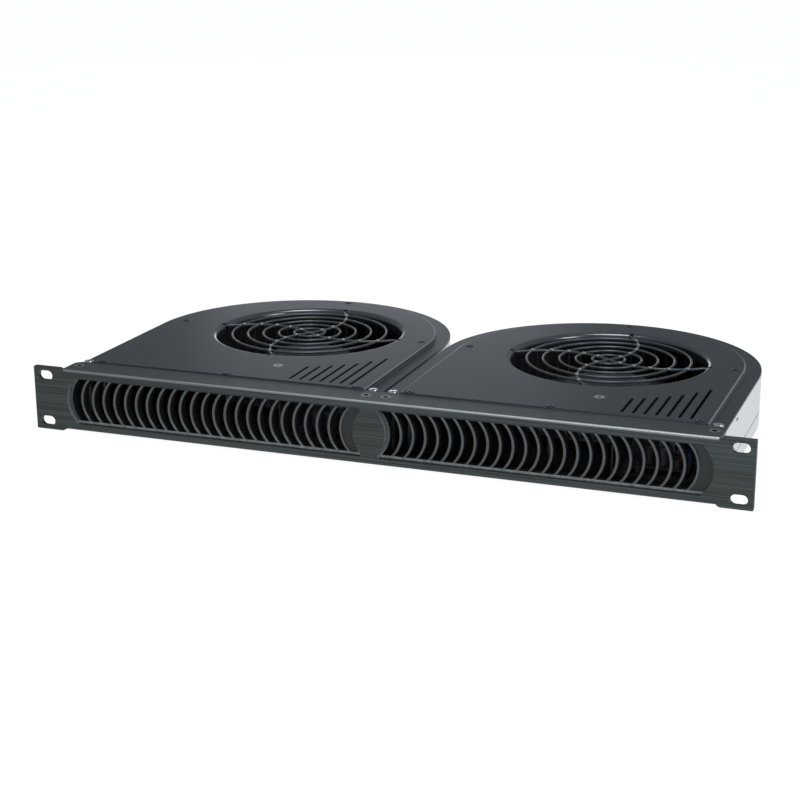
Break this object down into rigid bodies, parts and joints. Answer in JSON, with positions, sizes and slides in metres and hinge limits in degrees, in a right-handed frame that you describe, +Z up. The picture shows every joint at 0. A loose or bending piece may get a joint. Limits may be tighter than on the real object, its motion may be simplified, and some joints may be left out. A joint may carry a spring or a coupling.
{
  "type": "rack fan tray",
  "caption": "Flat rack fan tray, one rack unit high, with a slotted-ear front panel of curved louvres and round-backed blower housings with wire guards.",
  "frame": {"origin": "centre of the four rack slots, on the rear face of the ears", "axes": "+X along the panel to the right seen from the front, +Y back into the rack, +Z up"},
  "size_m": [0.4826, 0.2531, 0.0436],
  "materials": {
    "panel_anodised": "brushed, black anodised",
    "grille_plastic": "fine moulded",
    "black_steel": "black oxide",
    "lid_paint": "matt black powder coat",
    "zinc_sheet": "zinc-coated sheet",
    "zinc_steel": "bright zinc",
    "guard_wire": "dark-coated wire",
    "wheel_plastic": "glass-filled, matt",
    "rotor_steel": "ground",
    "ferrite": "sintered",
    "copper": "enamelled wire",
    "board": "black solder mask",
    "cast_base": "as cast",
    "grommet_rubber": "soft",
    "standoff_nylon": "black nylon",
    "jack_plastic": "moulded",
    "lead_sleeve": "sleeved pair"
  },
  "bodies": {
    "chassis": {"front_panel": "panel_anodised", "grille_left": "grille_plastic", "grille_right": "grille_plastic", "grille_pins": "black_steel", "lid_screws": "black_steel", "lid_posts_left": "black_steel", "lid_posts_right": "black_steel", "corner_posts_left": "black_steel", "corner_posts_right": "black_steel", "lid_left": "lid_paint", "lid_right": "lid_paint", "cutoff_plate_left": "lid_paint", "cutoff_plate_right": "lid_paint", "wall_band_left": "zinc_sheet", "wall_band_right": "zinc_sheet", "bottom_tray_left": "zinc_sheet", "bottom_tray_right": "zinc_sheet", "earth_screws": "zinc_steel", "corner_screws": "zinc_steel", "tray_screws": "zinc_steel", "clinch_nuts": "zinc_steel", "guard_nuts": "zinc_steel", "motor_screws": "zinc_steel", "flange_screws": "zinc_steel", "fan_guard_left": "guard_wire", "fan_guard_right": "guard_wire", "bearings_left": "rotor_steel", "bearings_right": "rotor_steel", "stator_core_left": "rotor_steel", "stator_core_right": "rotor_steel", "stator_windings_left": "copper", "stator_windings_right": "copper", "motor_driver_left": "board", "motor_driver_right": "board", "speed_board_left": "board", "speed_board_right": "board", "motor_base_left": "cast_base", "motor_base_right": "cast_base", "motor_grommets_left": "grommet_rubber", "motor_grommets_right": "grommet_rubber", "board_standoffs_left": "standoff_nylon", "board_standoffs_right": "standoff_nylon", "power_jack_left": "jack_plastic", "power_jack_right": "jack_plastic", "jack_nuts": "jack_plastic", "motor_lead_left": "lead_sleeve", "motor_lead_right": "lead_sleeve", "jack_lead_left": "lead_sleeve", "jack_lead_right": "lead_sleeve"},
    "fan_wheel_left": {"impeller_left": "wheel_plastic", "rotor_cup_left": "rotor_steel", "magnet_ring_left": "ferrite", "shaft_left": "rotor_steel", "shaft_clip_left": "zinc_steel"},
    "fan_wheel_right": {"impeller_right": "wheel_plastic", "rotor_cup_right": "rotor_steel", "magnet_ring_right": "ferrite", "shaft_right": "rotor_steel", "shaft_clip_right": "zinc_steel"}
  },
  "joints": [
    {"name": "fan_left_spin", "type": "hinge", "parent": "chassis", "child": "fan_wheel_left", "pos_m": [-0.1036, 0.1445, 0], "axis": [0, 0, 1], "continuous": true},
    {"name": "fan_right_spin", "type": "hinge", "parent": "chassis", "child": "fan_wheel_right", "pos_m": [0.1172, 0.1445, 0], "axis": [0, 0, 1], "continuous": true}
  ]
}
